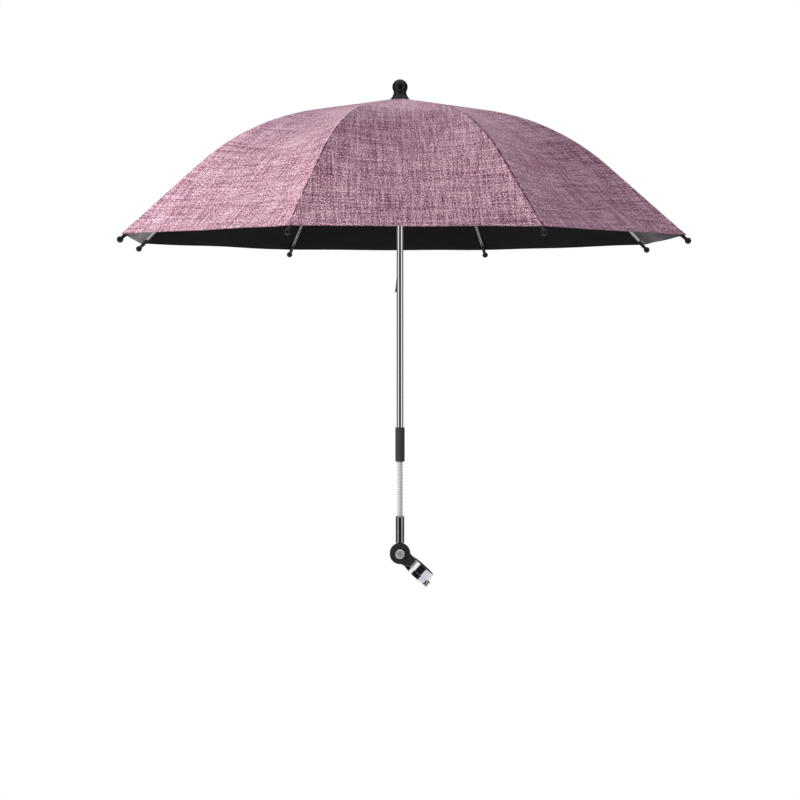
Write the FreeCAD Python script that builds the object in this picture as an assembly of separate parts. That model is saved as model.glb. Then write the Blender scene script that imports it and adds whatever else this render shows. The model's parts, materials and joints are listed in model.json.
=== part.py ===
import FreeCAD, Part
import math
import os

# Pram parasol: an eight-ribbed shade on a thin shaft, with a flexible neck, a tilting knuckle
# and a quick-release ring that grips a carrying tube.
# Millimetres and degrees. +Z is up along the shaft, and the origin is the middle of the ring's bore.

# General clearances
RUN_FIT = 0.06
PLAY = 0.3
SEAT_GAP = 0.05
OVERRUN = 5.0

# Quick-release ring, in its own frame: x along the carried tube, z towards the knuckle
TUBE_SLOPE = 48.0
BORE_R = 12.5
LINER_T = 2.5
BAND_T = 3.9
BAND_W = 20.0
BAND_SLIT = 4.0
LINER_SLIT = 7.0
LUG_HALF_T = 9.0
LUG_WALL = 3.0

# Lever, its cross pin and the draw bolt with its nut
LEVER_W = 7.5
LEVER_T = 2.5
LEVER_GAP = 0.6
LEVER_BEND_ANGLE = 142.0
LEVER_TIP_Z = 23.0
LEVER_TIP_W = 1.6
LEVER_TAPER = 22.0
LEVER_OGIVE_SHARES = (0.28, 0.6)
CAM_R = 3.8
CAM_OFFSET = 0.4
CAM_CLEARANCE = 0.6
PIN_R = 2.5
DRAW_BOLT_R = 1.5
YOKE_SLOT_W = 3.6
NUT_R = 3.0
NUT_T = 3.2

# Arm with its fork, and the two screws that hold it to the ring
KNUCKLE_REACH = 39.0
ARM_W = 18.5
ARM_HALF_T = 8.3
EAR_R = 15.25
EAR_T = 4.5
ARM_FILLET_R = 8.0
EAR_EDGE = 0.8
SCREW_SPACING = 10.0
SCREW_R = 1.5
SCREW_HEAD_R = 2.8
SCREW_HEAD_T = 1.4
SCREW_END_WALL = 1.5

# Knuckle bolt and nut
KNUCKLE_BOLT_R = 3.0
BOLT_HEAD_R = 6.9
BOLT_HEAD_T = 3.2
BOLT_HEAD_EDGE = 1.2
BOLT_DIMPLE_R = 1.6
BOLT_DIMPLE_DEPTH = 0.8
KNUCKLE_NUT_R = 5.6
KNUCKLE_NUT_T = 5.0

# Barrel with its tongue, heights above the knuckle's axis
TONGUE_R = 12.8
TONGUE_NECK_W = 10.0
BARREL_R = 6.4
BARREL_BOTTOM = 16.2
BARREL_TOP = 56.0
BARREL_EDGE = 1.4

# Flexible neck: ribbed links on ball-shaped seats
NECK_R = 4.0
NECK_ROOT_R = 3.4
NECK_BORE_R = 1.6
LINKS = 8
RIBS_PER_LINK = 4
LINK_GAP = 1.2
DOME_R = 2.6
RIB_STEP_SHARES = (0.0, 0.25, 0.6, 0.85)

# Sleeve and shaft, heights above the knuckle's axis
SLEEVE_BOTTOM = 137.0
SLEEVE_TOP = 188.0
SLEEVE_R = 7.0
SLEEVE_EDGE = 0.9
SHAFT_R = 5.0
SHAFT_WALL = 0.8
SHAFT_DEPTH = 38.0
HUB_HEIGHT = 669.0

# Ribs: a top line of straight, arc and straight, in the plane of the shaft
RIBS = 8
RIB_PHASE = -64.5
RIB_W = 3.4
RIB_H = 3.6
RIB_WALL = 0.5
RIB_EYE_RUN = 8.0
HUB_PIVOT_R = 9.0
CROWN_SLOPE = 9.5
RIM_SLOPE = 41.5
ARC_START_R = 134.5
RIB_ARC_R = 360.0
TIP_BALL_REACH = 430.0

# Rib tips
TIP_SOCKET_R = 2.7
TIP_DEPTH = 2.5
TIP_LENGTH = 20.0
TIP_BALL_R = 4.6
TIP_NECK_R = 2.0
TIP_RIB_GRIP = 10.0

# Stretchers, from a pin in the rib to a hook on the runner's wire
ATTACH_RUN = 125.0
STRETCHER_W = 1.8
STRETCHER_H = 2.0
STRETCHER_EYE_R = 1.15
STRETCHER_PIN_R = 0.6
HOOK_R = 1.7
HOOK_MOUTH_L = 6.0
HOOK_MOUTH_ANGLES = (30.0, 92.0)
RUNNER_PIVOT_R = 11.0
RUNNER_DROP = 100.1
FOLD = 62.0

# Hub and its wire
WIRE_R = 0.6
WIRE_PLAY = 0.15
HUB_R = 12.2
HUB_TOP = 1.5
HUB_BOTTOM = 6.0
HUB_CORE_R = 6.8

# Runner
RUNNER_FLANGE_R = 13.6
RUNNER_FLANGE_HALF_H = 4.0
RUNNER_SLEEVE_R = 9.0
RUNNER_LENGTH = 36.0
RUNNER_RIM_R = 11.0
RUNNER_RIM_H = 5.0
RUNNER_PLAY = 0.1
RUNNER_CORE_R = 8.7

# Catches that hold the runner, set between two ribs
CATCH_REACH = 7.4
CATCH_T = 1.6
CATCH_LENGTH = 26.0
CATCH_INNER_R = 0.8
CATCH_TOE = 0.4
LOW_CATCH_DROP = 281.0

# Canopy
FABRIC_T = 0.8
FABRIC_GAP = 0.95
FABRIC_HOLE_R = 5.6
FABRIC_CORNER_SETBACK = 3.5
FABRIC_SAG = 10.5
FABRIC_SAG_SHARES = (0.0, 0.52, 0.92, 0.96, 0.0)
PANEL_GAP = 0.3

# Finial
FINIAL_RISE = 33.0
FINIAL_BALL_R = 11.4
FINIAL_NECK_R = 9.2
FINIAL_SKIRT_R = 13.6
FINIAL_SKIRT_H = 1.6
FINIAL_BORE_DEPTH = 11.0
FINIAL_HOLLOW_SHARE = 0.25

ORIGIN = FreeCAD.Vector(0, 0, 0)
X_AXIS = FreeCAD.Vector(1, 0, 0)
Y_AXIS = FreeCAD.Vector(0, 1, 0)
Z_AXIS = FreeCAD.Vector(0, 0, 1)


def vec(x, y, z):
    return FreeCAD.Vector(x, y, z)


def along_x(radius, x0, x1, y=0, z=0):
    return Part.makeCylinder(radius, x1 - x0, vec(x0, y, z), X_AXIS)


def along_y(radius, y0, y1, x=0, z=0):
    return Part.makeCylinder(radius, y1 - y0, vec(x, y0, z), Y_AXIS)


def along_z(radius, z0, z1, x=0, y=0):
    return Part.makeCylinder(radius, z1 - z0, vec(x, y, z0), Z_AXIS)


def block(x0, x1, y0, y1, z0, z1):
    return Part.makeBox(x1 - x0, y1 - y0, z1 - z0, vec(x0, y0, z0))


def polygon_xz(points):
    corners = [vec(x, 0, z) for x, z in points]
    return Part.makePolygon(corners + corners[:1])


def slab(wire, width, middle=0):
    """A closed outline in the XZ plane, thickened along Y about the middle."""
    face = Part.Face(wire)
    face.translate(vec(0, middle - width / 2, 0))
    return face.extrude(vec(0, width, 0))


def lathe(points):
    """A closed outline of (radius, height) points turned about Z."""
    return Part.Face(polygon_xz(points)).revolve(ORIGIN, Z_AXIS, 360)


def fused(shapes):
    whole = shapes[0].fuse(shapes[1:])
    return whole.removeSplitter()


def line(a, b):
    return Part.LineSegment(a, b).toShape()


def arc(a, b, c):
    return Part.Arc(a, b, c).toShape()


def polar(angle, radius=1.0):
    turn = math.radians(angle)
    return radius * math.cos(turn), radius * math.sin(turn)


# The knuckle's centre in the part's frame
KNUCKLE = vec(-KNUCKLE_REACH * math.sin(math.radians(TUBE_SLOPE)), 0,
              KNUCKLE_REACH * math.cos(math.radians(TUBE_SLOPE)))
HUB = KNUCKLE + vec(0, 0, HUB_HEIGHT)


def in_ring_frame(shape):
    """Tip a piece from the ring's own frame into the part's frame."""
    shape.rotate(ORIGIN, Y_AXIS, -TUBE_SLOPE)
    return shape


def above_knuckle(shape):
    shape.translate(KNUCKLE)
    return shape


# Sizes of the ring that follow from the values above
BAND_IN = BORE_R + LINER_T
BAND_OUT = BAND_IN + BAND_T
LEVER_X0 = -BAND_W / 2
LEVER_X1 = LEVER_X0 + LEVER_W
LEVER_XC = (LEVER_X0 + LEVER_X1) / 2
CAM_REACH = CAM_R + CAM_OFFSET
PIN_Y = -(LUG_HALF_T + CAM_REACH + PLAY)
PIN_Z = -math.sqrt((BAND_OUT + CAM_CLEARANCE + CAM_REACH) ** 2 - PIN_Y ** 2)
LUG_Z = PIN_Z - LUG_WALL
POCKET_R = TONGUE_R + PLAY
SCREW_TOP = KNUCKLE_REACH - POCKET_R - SCREW_END_WALL


def clamp_band():
    ring = along_x(BAND_OUT, -BAND_W / 2, BAND_W / 2)
    lugs = block(LEVER_X0, LEVER_X1, -LUG_HALF_T, LUG_HALF_T, LUG_Z, -BAND_IN)
    band = fused([ring, lugs])
    band = band.cut(along_x(BAND_IN, -BAND_W / 2 - OVERRUN, BAND_W / 2 + OVERRUN))
    slit = block(-BAND_W, BAND_W, -BAND_SLIT / 2, BAND_SLIT / 2, LUG_Z - OVERRUN, 0)
    bolt_hole = along_y(DRAW_BOLT_R + RUN_FIT, -BAND_OUT, BAND_OUT, LEVER_XC, PIN_Z)
    band = band.cut(slit).cut(bolt_hole)
    for side in (-1, 1):
        x = side * SCREW_SPACING / 2
        band = band.cut(along_z(SCREW_R + SEAT_GAP, 0, BAND_OUT + OVERRUN, x))
        band = band.cut(along_z(SCREW_HEAD_R + SEAT_GAP, 0, BAND_IN + SCREW_HEAD_T, x))
    return in_ring_frame(band)


def band_liner():
    liner = along_x(BAND_IN - SEAT_GAP, -BAND_W / 2, BAND_W / 2)
    liner = liner.cut(along_x(BORE_R, -BAND_W, BAND_W))
    slit = block(-BAND_W, BAND_W, -LINER_SLIT / 2, LINER_SLIT / 2, -BAND_IN - OVERRUN, 0)
    return in_ring_frame(liner.cut(slit))


def arm_screws():
    head_z = BAND_IN + SEAT_GAP
    screws = []
    for side in (-1, 1):
        x = side * SCREW_SPACING / 2
        head = along_z(SCREW_HEAD_R, head_z, BAND_IN + SCREW_HEAD_T, x)
        shank = along_z(SCREW_R, head_z, SCREW_TOP, x)
        screws.append(in_ring_frame(fused([head, shank])))
    return Part.makeCompound(screws)


def arm_outline():
    """Straight arm that swells through two hollow fillets into the round ear."""
    half = ARM_W / 2
    reach = EAR_R + ARM_FILLET_R
    fillet_x = half + ARM_FILLET_R
    fillet_z = KNUCKLE_REACH - math.sqrt(reach ** 2 - fillet_x ** 2)
    touch_share = EAR_R / reach
    touch_x = fillet_x * touch_share
    touch_z = KNUCKLE_REACH + (fillet_z - KNUCKLE_REACH) * touch_share
    low = vec(half, 0, 0)
    start = vec(half, 0, fillet_z)
    end = vec(touch_x, 0, touch_z)
    middle_angle = (180 + math.degrees(math.atan2(touch_z - fillet_z, touch_x - fillet_x))) / 2
    dx, dz = polar(middle_angle, ARM_FILLET_R)
    middle = vec(fillet_x + dx, 0, fillet_z + dz)
    top = vec(0, 0, KNUCKLE_REACH + EAR_R)

    def mirrored(point):
        return vec(-point.x, 0, point.z)

    edges = [
        line(mirrored(low), low),
        line(low, start),
        arc(start, middle, end),
        arc(end, top, mirrored(end)),
        arc(mirrored(end), mirrored(middle), mirrored(start)),
        line(mirrored(start), mirrored(low)),
    ]
    return Part.Wire(edges)


def clamp_arm():
    arm = slab(arm_outline(), 2 * ARM_HALF_T)
    slot = ARM_HALF_T - EAR_T
    pocket = along_y(POCKET_R, -slot, slot, 0, KNUCKLE_REACH)
    mouth_z = KNUCKLE_REACH - TONGUE_NECK_W / 2 - PLAY
    mouth = block(-EAR_R - OVERRUN, EAR_R + OVERRUN, -slot, slot, mouth_z, KNUCKLE_REACH + EAR_R + OVERRUN)
    arm = arm.cut(pocket).cut(mouth)
    arm = arm.cut(along_y(KNUCKLE_BOLT_R + RUN_FIT, -ARM_HALF_T - OVERRUN, ARM_HALF_T + OVERRUN,
                          0, KNUCKLE_REACH))
    arm = arm.cut(along_x(BAND_OUT + SEAT_GAP, -ARM_W, ARM_W))
    for side in (-1, 1):
        x = side * SCREW_SPACING / 2
        arm = arm.cut(along_z(SCREW_R + SEAT_GAP, 0, SCREW_TOP + SEAT_GAP, x))
    rims = [edge for edge in arm.Edges
            if abs(abs(edge.CenterOfMass.y) - ARM_HALF_T) < SEAT_GAP
            and edge.CenterOfMass.z > KNUCKLE_REACH
            and edge.BoundBox.XLength > EAR_R]
    arm = arm.makeChamfer(EAR_EDGE, rims)
    return in_ring_frame(arm)


def draw_bolt():
    return in_ring_frame(along_y(DRAW_BOLT_R, PIN_Y - PIN_R, LUG_HALF_T + NUT_T + PLAY, LEVER_XC, PIN_Z))


def hex_nut(corner_r, thickness, y0, hole_r):
    """Six-sided nut about Y, starting at y0."""
    corners = []
    for i in range(6):
        corners.append(polar(60 * i, corner_r))
    nut = slab(polygon_xz(corners), thickness, y0 + thickness / 2)
    return nut.cut(along_y(hole_r, y0 - OVERRUN, y0 + thickness + OVERRUN))


def adjusting_nut():
    nut = hex_nut(NUT_R, NUT_T, LUG_HALF_T + SEAT_GAP, DRAW_BOLT_R + SEAT_GAP)
    nut.translate(vec(LEVER_XC, 0, PIN_Z))
    return in_ring_frame(nut)


def lever_pin():
    pin = along_x(PIN_R, LEVER_X0 + SEAT_GAP, LEVER_X1 - SEAT_GAP, PIN_Y, PIN_Z)
    pin = pin.cut(along_y(DRAW_BOLT_R + SEAT_GAP, PIN_Y - PIN_R, PIN_Y + PIN_R, LEVER_XC, PIN_Z))
    return in_ring_frame(pin)


def lever_outline():
    """The lever seen from the front: even in width below, drawn to a blunt point above."""
    tip_half = LEVER_TIP_W / 2
    shoulder_z = LEVER_TIP_Z - LEVER_TAPER
    low_z = LUG_Z - OVERRUN
    in_share, up_share = LEVER_OGIVE_SHARES
    curve_in = (LEVER_W / 2 - tip_half) * in_share
    curve_z = shoulder_z + LEVER_TAPER * up_share
    low = [vec(LEVER_X0, 0, low_z), vec(LEVER_X1, 0, low_z)]
    shoulder = [vec(LEVER_X0, 0, shoulder_z), vec(LEVER_X1, 0, shoulder_z)]
    curve = [vec(LEVER_X0 + curve_in, 0, curve_z), vec(LEVER_X1 - curve_in, 0, curve_z)]
    tip = [vec(LEVER_XC - tip_half, 0, LEVER_TIP_Z), vec(LEVER_XC + tip_half, 0, LEVER_TIP_Z)]
    return Part.Wire([
        line(low[0], low[1]),
        line(low[1], shoulder[1]),
        arc(shoulder[1], curve[1], tip[1]),
        line(tip[1], tip[0]),
        arc(tip[0], curve[0], shoulder[0]),
        line(shoulder[0], low[0]),
    ])


def clamp_lever():
    """Curved strip over the front of the ring, with a cam at its foot and a straight pointed tab."""
    inner = BAND_OUT + LEVER_GAP
    outer = inner + LEVER_T
    foot_angle = math.degrees(math.atan2(PIN_Z, PIN_Y)) + 360
    middle_angle = (foot_angle + LEVER_BEND_ANGLE) / 2

    def at(angle, radius):
        y, z = polar(angle, radius)
        return vec(LEVER_X0, y, z)

    bend = at(LEVER_BEND_ANGLE, inner)
    tab_inner = vec(LEVER_X0, bend.y, LEVER_TIP_Z)
    tab_outer = vec(LEVER_X0, bend.y - LEVER_T, LEVER_TIP_Z)
    outline = Part.Wire([
        arc(at(foot_angle, inner), at(middle_angle, inner), bend),
        line(bend, tab_inner),
        line(tab_inner, tab_outer),
        line(tab_outer, at(LEVER_BEND_ANGLE, outer)),
        arc(at(LEVER_BEND_ANGLE, outer), at(middle_angle, outer), at(foot_angle, outer)),
        line(at(foot_angle, outer), at(foot_angle, inner)),
    ])
    strip = Part.Face(outline).extrude(vec(LEVER_W, 0, 0))
    cam = along_x(CAM_R, LEVER_X0, LEVER_X1, PIN_Y + CAM_OFFSET, PIN_Z)
    lever = fused([strip, cam]).common(slab(lever_outline(), 2 * outer + 2 * OVERRUN))
    lever = lever.cut(along_x(BAND_OUT + PLAY, -BAND_W, BAND_W))
    lever = lever.cut(along_x(PIN_R + RUN_FIT, -BAND_W, BAND_W, PIN_Y, PIN_Z))
    half_slot = YOKE_SLOT_W / 2
    slot_r = CAM_REACH + CAM_OFFSET + PLAY
    lever = lever.cut(along_x(slot_r, LEVER_XC - half_slot, LEVER_XC + half_slot, PIN_Y, PIN_Z))
    return in_ring_frame(lever)


def knuckle_bolt():
    """Round-headed bolt through the fork, its head towards the front."""
    face = -ARM_HALF_T
    head = lathe([
        (0, 0),
        (BOLT_HEAD_R, 0),
        (BOLT_HEAD_R, BOLT_HEAD_T - BOLT_HEAD_EDGE),
        (BOLT_HEAD_R - BOLT_HEAD_EDGE, BOLT_HEAD_T),
        (BOLT_DIMPLE_R, BOLT_HEAD_T),
        (BOLT_DIMPLE_R, BOLT_HEAD_T - BOLT_DIMPLE_DEPTH),
        (0, BOLT_HEAD_T - BOLT_DIMPLE_DEPTH),
    ])
    head.rotate(ORIGIN, X_AXIS, 90)
    head.translate(vec(0, face, 0))
    shank = along_y(KNUCKLE_BOLT_R, face, ARM_HALF_T + KNUCKLE_NUT_T)
    return above_knuckle(fused([head, shank]))


def knuckle_nut():
    return above_knuckle(hex_nut(KNUCKLE_NUT_R, KNUCKLE_NUT_T, ARM_HALF_T, KNUCKLE_BOLT_R + SEAT_GAP))


# Heights of the flexible neck above the knuckle's axis
FIRST_JOINT = BARREL_TOP + LINK_GAP / 2
LINK_PITCH = (SLEEVE_BOTTOM - FIRST_JOINT) / LINKS


def joint_height(number):
    """Height of neck joint 1, 2 and so on."""
    return FIRST_JOINT + (number - 1) * LINK_PITCH


def knuckle_barrel():
    half = ARM_HALF_T - EAR_T - PLAY
    tongue = along_y(TONGUE_R, -half, half)
    neck = block(-TONGUE_NECK_W / 2, TONGUE_NECK_W / 2, -half, half, 0, BARREL_BOTTOM + OVERRUN)
    barrel = lathe([
        (0, BARREL_BOTTOM),
        (BARREL_R, BARREL_BOTTOM),
        (BARREL_R, BARREL_TOP - BARREL_EDGE),
        (BARREL_R - BARREL_EDGE, BARREL_TOP),
        (0, BARREL_TOP),
    ])
    dome = Part.makeSphere(DOME_R, vec(0, 0, FIRST_JOINT))
    body = fused([barrel, tongue, neck, dome])
    body = body.cut(along_z(NECK_BORE_R, BARREL_BOTTOM + OVERRUN, BARREL_TOP + OVERRUN))
    body = body.cut(along_y(KNUCKLE_BOLT_R + RUN_FIT, -ARM_HALF_T, ARM_HALF_T))
    return above_knuckle(body)


def gooseneck_link(number):
    """One ribbed link: a cup below, a dome above, and a bore right through."""
    low = joint_height(number)
    bottom = low + LINK_GAP / 2
    last = number == LINKS
    top = SLEEVE_BOTTOM if last else joint_height(number + 1) - LINK_GAP / 2
    rib_pitch = (top - bottom) / RIBS_PER_LINK
    radii = (NECK_ROOT_R, NECK_R, NECK_R, NECK_ROOT_R)
    circles = []
    for i in range(RIBS_PER_LINK):
        for share, radius in zip(RIB_STEP_SHARES, radii):
            z = bottom + (i + share) * rib_pitch
            circles.append(Part.Wire(Part.makeCircle(radius, vec(0, 0, z))))
    circles.append(Part.Wire(Part.makeCircle(NECK_ROOT_R, vec(0, 0, top))))
    link = Part.makeLoft(circles, True, True)
    if not last:
        link = link.fuse(Part.makeSphere(DOME_R, vec(0, 0, joint_height(number + 1))))
    link = link.cut(Part.makeSphere(DOME_R + PLAY, vec(0, 0, low)))
    link = link.cut(along_z(NECK_BORE_R, low - OVERRUN, top + OVERRUN))
    return above_knuckle(link)


def shaft_sleeve():
    sleeve = lathe([
        (0, SLEEVE_BOTTOM),
        (SLEEVE_R - SLEEVE_EDGE, SLEEVE_BOTTOM),
        (SLEEVE_R, SLEEVE_BOTTOM + SLEEVE_EDGE),
        (SLEEVE_R, SLEEVE_TOP - SLEEVE_EDGE),
        (SLEEVE_R - SLEEVE_EDGE, SLEEVE_TOP),
        (0, SLEEVE_TOP),
    ])
    sleeve = sleeve.cut(along_z(SHAFT_R + RUN_FIT, SLEEVE_TOP - SHAFT_DEPTH, SLEEVE_TOP + OVERRUN))
    return above_knuckle(sleeve)


# The rib's top line, in the plane of one rib with the hub's pivot height at zero
CROWN = math.radians(CROWN_SLOPE)
RIM = math.radians(RIM_SLOPE)
RIB_TOP = RIB_H / 2


def way(slope):
    """Unit step along a line that falls at this slope, and the unit step up from it."""
    return vec(math.cos(slope), 0, -math.sin(slope)), vec(math.sin(slope), 0, math.cos(slope))


CROWN_WAY, CROWN_UP = way(CROWN)
RIM_WAY, RIM_UP = way(RIM)
PIVOT = vec(HUB_PIVOT_R, 0, 0)
RIB_START = PIVOT + CROWN_UP * RIB_TOP
ARC_RUN = (ARC_START_R - RIB_START.x) / math.cos(CROWN)
ARC_START = RIB_START + CROWN_WAY * ARC_RUN
ARC_CENTRE = ARC_START - CROWN_UP * RIB_ARC_R
ARC_END = ARC_CENTRE + RIM_UP * RIB_ARC_R
TIP_BALL_RUN = (TIP_BALL_REACH - ARC_END.x + TIP_DEPTH * math.sin(RIM)) / math.cos(RIM)
TIP_BALL = ARC_END + RIM_WAY * TIP_BALL_RUN - RIM_UP * TIP_DEPTH
RIB_END_RUN = TIP_BALL_RUN - TIP_LENGTH + TIP_RIB_GRIP
FABRIC_CORNER_R = TIP_BALL_REACH - FABRIC_CORNER_SETBACK
CORNER_RUN = (FABRIC_CORNER_R - ARC_END.x) / math.cos(RIM)


def band_wire(low, high, start_run, end_run, squeeze=1, sag=0):
    """Outline of a band that follows the top line between two heights above it.

    The band can be squeezed towards the shaft and sagged between its ends.
    """
    def curve(height):
        points = [
            RIB_START + CROWN_WAY * start_run + CROWN_UP * height,
            ARC_CENTRE + CROWN_UP * (RIB_ARC_R + height),
            ARC_CENTRE + way((CROWN + RIM) / 2)[1] * (RIB_ARC_R + height),
            ARC_CENTRE + RIM_UP * (RIB_ARC_R + height),
            ARC_END + RIM_WAY * end_run + RIM_UP * height,
        ]
        return [vec(point.x * squeeze, 0, point.z - sag * share)
                for point, share in zip(points, FABRIC_SAG_SHARES)]

    a = curve(low)
    b = curve(high)
    edges = [
        line(a[0], a[1]),
        arc(a[1], a[2], a[3]),
        line(a[3], a[4]),
        line(a[4], b[4]),
        line(b[4], b[3]),
        arc(b[3], b[2], b[1]),
        line(b[1], b[0]),
        line(b[0], a[0]),
    ]
    return Part.Wire(edges)


def rib_angle(number):
    return RIB_PHASE + 360 / RIBS * (number - 1)


def at_rib(shape, number):
    """Turn a piece made in the plane of +X to its rib and lift it to the hub."""
    shape.rotate(ORIGIN, Z_AXIS, rib_angle(number))
    shape.translate(HUB)
    return shape


# Where the stretcher meets the rib and the runner, with the canopy open
ATTACH = PIVOT + CROWN_WAY * ATTACH_RUN
HOOK = vec(RUNNER_PIVOT_R, 0, -RUNNER_DROP)
STRETCHER_L = (HOOK - ATTACH).Length


def runner_drop(fold):
    """Depth of the runner's wire below the hub's pivots at a fold angle."""
    slope = CROWN + math.radians(fold)
    attach = PIVOT + way(slope)[0] * ATTACH_RUN
    return math.sqrt(STRETCHER_L ** 2 - (attach.x - RUNNER_PIVOT_R) ** 2) - attach.z


def stretcher_angle(fold):
    """Direction from the rib's pin to the runner's wire, above the outward level."""
    slope = CROWN + math.radians(fold)
    attach = PIVOT + way(slope)[0] * ATTACH_RUN
    return math.degrees(math.atan2(-runner_drop(fold) - attach.z, RUNNER_PIVOT_R - attach.x))


RUNNER_TRAVEL = runner_drop(FOLD) - RUNNER_DROP
STRETCHER_TURN = stretcher_angle(FOLD) - stretcher_angle(0) + FOLD


def rib(number):
    """Steel channel, open below, with a flat eye on the hub's wire."""
    bar = slab(band_wire(-RIB_H, 0, 0, RIB_END_RUN), RIB_W)
    channel = slab(band_wire(-RIB_H - OVERRUN, -RIB_WALL, RIB_EYE_RUN, RIB_END_RUN + OVERRUN),
                   RIB_W - 2 * RIB_WALL)
    eye = along_y(RIB_TOP, -RIB_W / 2, RIB_W / 2, PIVOT.x, PIVOT.z)
    bar = fused([bar.cut(channel), eye])
    bar = bar.cut(along_y(WIRE_R + RUN_FIT, -RIB_W, RIB_W, PIVOT.x, PIVOT.z))
    bar = bar.cut(along_y(STRETCHER_PIN_R + RUN_FIT, -RIB_W, RIB_W, ATTACH.x, ATTACH.z))
    return at_rib(bar, number)


def rib_tip(number):
    """Socket clipped under the end of the rib, a thin neck and a ball."""
    start = TIP_BALL - RIM_WAY * TIP_LENGTH
    neck_start = TIP_BALL - RIM_WAY * (2 * TIP_BALL_R)
    socket = Part.makeCylinder(TIP_SOCKET_R, TIP_LENGTH - 2 * TIP_BALL_R, start, RIM_WAY)
    neck = Part.makeCone(TIP_SOCKET_R, TIP_NECK_R, 2 * TIP_BALL_R, neck_start, RIM_WAY)
    tip = fused([socket, neck, Part.makeSphere(TIP_BALL_R, TIP_BALL)])
    pocket = slab(band_wire(-RIB_H - SEAT_GAP, OVERRUN, 0, RIB_END_RUN + SEAT_GAP), RIB_W + 2 * SEAT_GAP)
    return at_rib(tip.cut(pocket), number)


def stretcher(number):
    """Thin bar with a pin through the rib's channel above and an open hook below."""
    reach = HOOK - ATTACH
    tilt = math.degrees(math.atan2(reach.z, reach.x))
    half = STRETCHER_H / 2
    bar = block(0, STRETCHER_L, -STRETCHER_W / 2, STRETCHER_W / 2, -half, half)
    eye = along_y(STRETCHER_EYE_R, -STRETCHER_W / 2, STRETCHER_W / 2)
    pin = along_y(STRETCHER_PIN_R, -RIB_W / 2, RIB_W / 2)
    hook = along_y(HOOK_R, -STRETCHER_W / 2, STRETCHER_W / 2, STRETCHER_L)
    body = fused([bar, eye, pin, hook])
    hole_r = WIRE_R + WIRE_PLAY
    body = body.cut(along_y(hole_r, -RIB_W, RIB_W, STRETCHER_L))
    # The mouth lets the wire out on the upper side of the bar, between two directions from the wire
    first, last = HOOK_MOUTH_ANGLES
    corners = []
    for angle, side in ((first, -90), (last, 90)):
        dx, dz = polar(angle, HOOK_MOUTH_L)
        wx, wz = polar(angle + side, hole_r)
        corners.append(((wx, wz), (wx + dx, wz + dz)))
    mouth = [corners[0][0], corners[0][1], corners[1][1], corners[1][0]]
    # Directions are counted from the bar's own line back towards the rib
    mouth = [(STRETCHER_L - x, -z) for x, z in mouth]
    body = body.cut(slab(polygon_xz(mouth), 2 * RIB_W))
    body.rotate(ORIGIN, Y_AXIS, -tilt)
    body.translate(ATTACH)
    return at_rib(body, number)


def wire_ring(radius_in, wire_r, height):
    """Eight straight runs, one across each rib's plane, joined by round corners."""
    half_run = radius_in * math.tan(math.pi / RIBS)
    shapes = []
    for number in range(1, RIBS + 1):
        run = along_y(wire_r, -half_run, half_run, radius_in)
        corner = Part.makeSphere(wire_r, vec(radius_in, half_run, 0))
        for shape in (run, corner):
            shape.rotate(ORIGIN, Z_AXIS, rib_angle(number))
            shapes.append(shape)
    ring = fused(shapes)
    ring.translate(HUB + vec(0, 0, height))
    return ring


def slots(core_r, reach, width, z0, z1):
    """Radial slots, one in each rib's plane."""
    cuts = []
    for number in range(1, RIBS + 1):
        slot = block(core_r, reach, -width / 2, width / 2, z0, z1)
        slot.rotate(ORIGIN, Z_AXIS, rib_angle(number))
        cuts.append(slot)
    return cuts


def top_notch():
    """Crown block on the shaft with a slot for each rib's eye."""
    notch = along_z(HUB_R, -HUB_BOTTOM, HUB_TOP).cut(along_z(SHAFT_R + SEAT_GAP, -HUB_R, HUB_R))
    for slot in slots(HUB_CORE_R, 2 * HUB_R, RIB_W + 2 * PLAY, -HUB_R, HUB_R):
        notch = notch.cut(slot)
    notch.translate(HUB)
    return notch.cut(wire_ring(HUB_PIVOT_R, WIRE_R + SEAT_GAP, 0))


# The catches lie midway between two ribs, on the side away from +X
CATCH_ANGLE = rib_angle(6) + 180 / RIBS
RUNNER_BOTTOM = -RUNNER_DROP - RUNNER_LENGTH
TOP_CATCH_Z = RUNNER_BOTTOM - PLAY
LOW_CATCH_Z = -LOW_CATCH_DROP


def runner():
    """Sleeve that slides on the shaft, with a slotted flange for the stretchers' hooks."""
    flange_top = -RUNNER_DROP + RUNNER_FLANGE_HALF_H
    flange_low = -RUNNER_DROP - RUNNER_FLANGE_HALF_H
    bore = SHAFT_R + RUNNER_PLAY
    body = lathe([
        (bore, RUNNER_BOTTOM),
        (RUNNER_RIM_R, RUNNER_BOTTOM),
        (RUNNER_RIM_R, RUNNER_BOTTOM + RUNNER_RIM_H),
        (RUNNER_SLEEVE_R, RUNNER_BOTTOM + RUNNER_RIM_H + RUNNER_RIM_R - RUNNER_SLEEVE_R),
        (RUNNER_SLEEVE_R, flange_low),
        (RUNNER_FLANGE_R, flange_low),
        (RUNNER_FLANGE_R, flange_top),
        (bore, flange_top),
    ])
    width = STRETCHER_W + 2 * PLAY
    for slot in slots(RUNNER_CORE_R, 2 * RUNNER_FLANGE_R, width, flange_low - OVERRUN, flange_top + OVERRUN):
        body = body.cut(slot)
    half_key = CATCH_T / 2 + PLAY
    keyway = block(0, CATCH_REACH + PLAY, -half_key, half_key, RUNNER_BOTTOM - OVERRUN, flange_top + OVERRUN)
    keyway.rotate(ORIGIN, Z_AXIS, CATCH_ANGLE)
    body = body.cut(keyway)
    body.translate(HUB)
    return body.cut(wire_ring(RUNNER_PIVOT_R, WIRE_R + SEAT_GAP, -RUNNER_DROP))


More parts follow.
